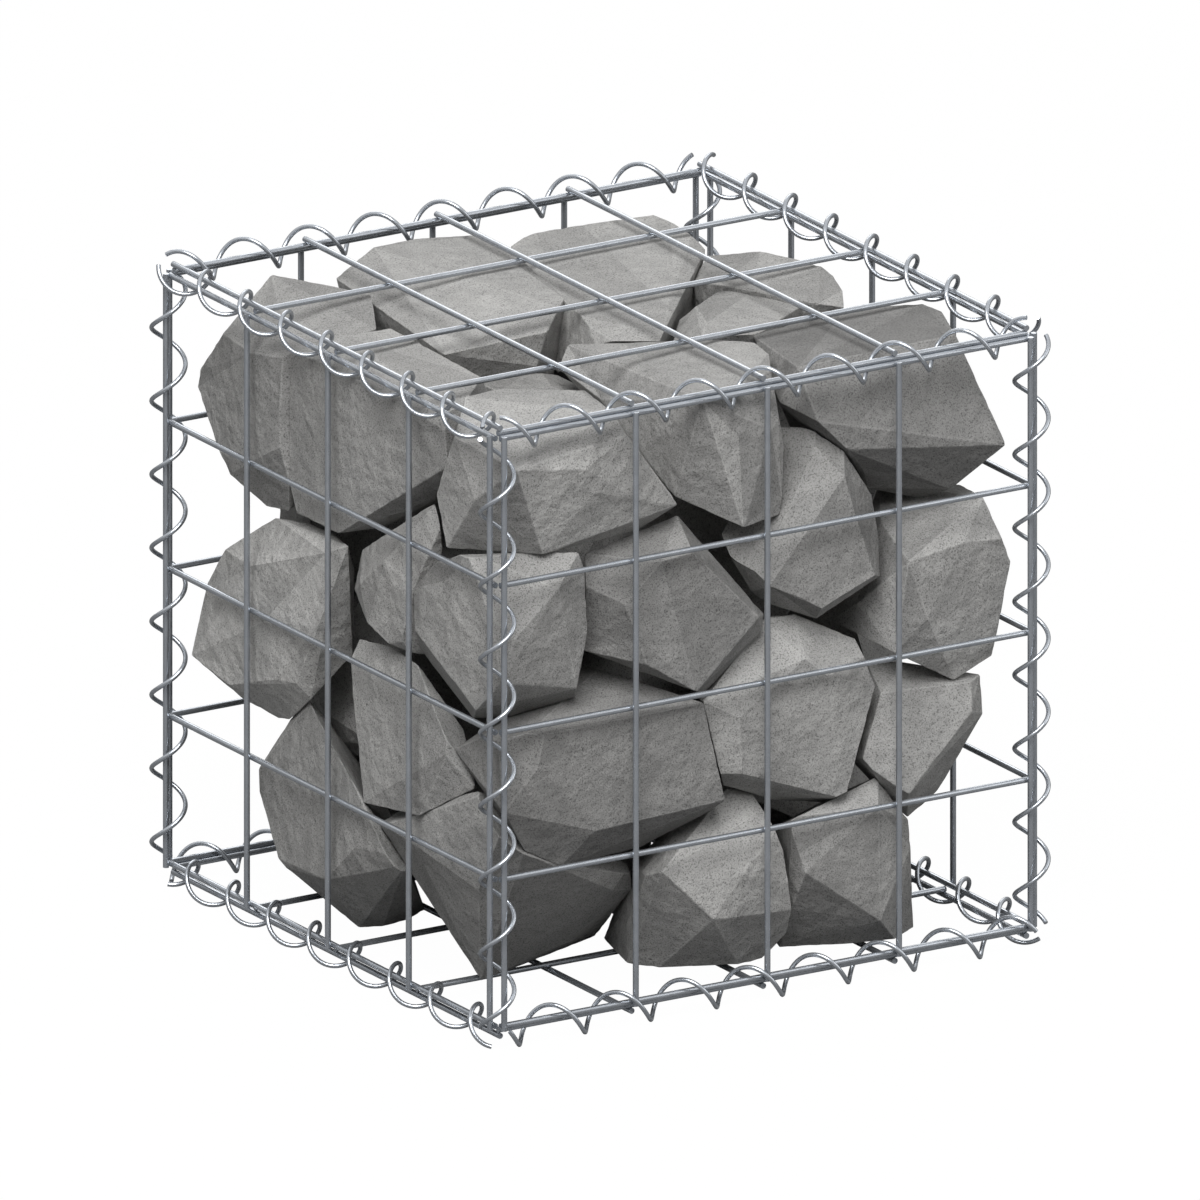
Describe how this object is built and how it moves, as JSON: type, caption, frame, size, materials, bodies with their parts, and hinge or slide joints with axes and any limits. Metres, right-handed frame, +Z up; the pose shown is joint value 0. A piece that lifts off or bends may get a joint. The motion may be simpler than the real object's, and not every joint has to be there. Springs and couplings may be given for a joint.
{
  "type": "stone filled gabion basket",
  "caption": "Cube of welded wire mesh panels laced along every edge by wire spirals and packed with rough quarried stones.",
  "frame": {"origin": "centre of the basket's footprint, on the surface that the base spirals rest on", "axes": "+Z up, +X and +Y along the mesh wires; the front panel faces -Y"},
  "size_m": [0.431, 0.431, 0.431],
  "materials": {
    "galvanised_wire": "galvanised, satin",
    "stone": "rough broken grey stone"
  },
  "bodies": {
    "root": {"back_base_spiral": "galvanised_wire", "back_inner_wires": "galvanised_wire", "back_left_spiral": "galvanised_wire", "back_outer_wires": "galvanised_wire", "back_right_spiral": "galvanised_wire", "back_top_spiral": "galvanised_wire", "base_corner_stone": "stone", "base_front_stone": "stone", "base_inner_stones": "stone", "base_inner_wires": "galvanised_wire", "base_left_stone": "stone", "base_outer_wires": "galvanised_wire", "base_right_stone": "stone", "corner_middle_stone": "stone", "front_base_spiral": "galvanised_wire", "front_inner_wires": "galvanised_wire", "front_left_spiral": "galvanised_wire", "front_low_stone": "stone", "front_middle_stone": "stone", "front_outer_wires": "galvanised_wire", "front_right_spiral": "galvanised_wire", "front_right_stone": "stone", "front_top_spiral": "galvanised_wire", "front_wedge_stone": "stone", "heart_stone": "stone", "left_back_stone": "stone", "left_base_spiral": "galvanised_wire", "left_inner_wires": "galvanised_wire", "left_low_stone": "stone", "left_middle_stone": "stone", "left_outer_wires": "galvanised_wire", "left_top_spiral": "galvanised_wire", "lower_inner_stones": "stone", "right_base_spiral": "galvanised_wire", "right_front_stone": "stone", "right_inner_wires": "galvanised_wire", "right_low_stone": "stone", "right_outer_wires": "galvanised_wire", "right_top_spiral": "galvanised_wire", "top_back_left_stone": "stone", "top_back_right_stone": "stone", "top_back_stone": "stone", "top_corner_stone": "stone", "top_front_stone": "stone", "top_inner_stone": "stone", "top_inner_stones": "stone", "top_inner_wires": "galvanised_wire", "top_outer_wires": "galvanised_wire", "top_right_stone": "stone", "upper_inner_stones": "stone", "upper_left_face_stone": "stone", "upper_left_stone": "stone"}
  },
  "joints": []
}
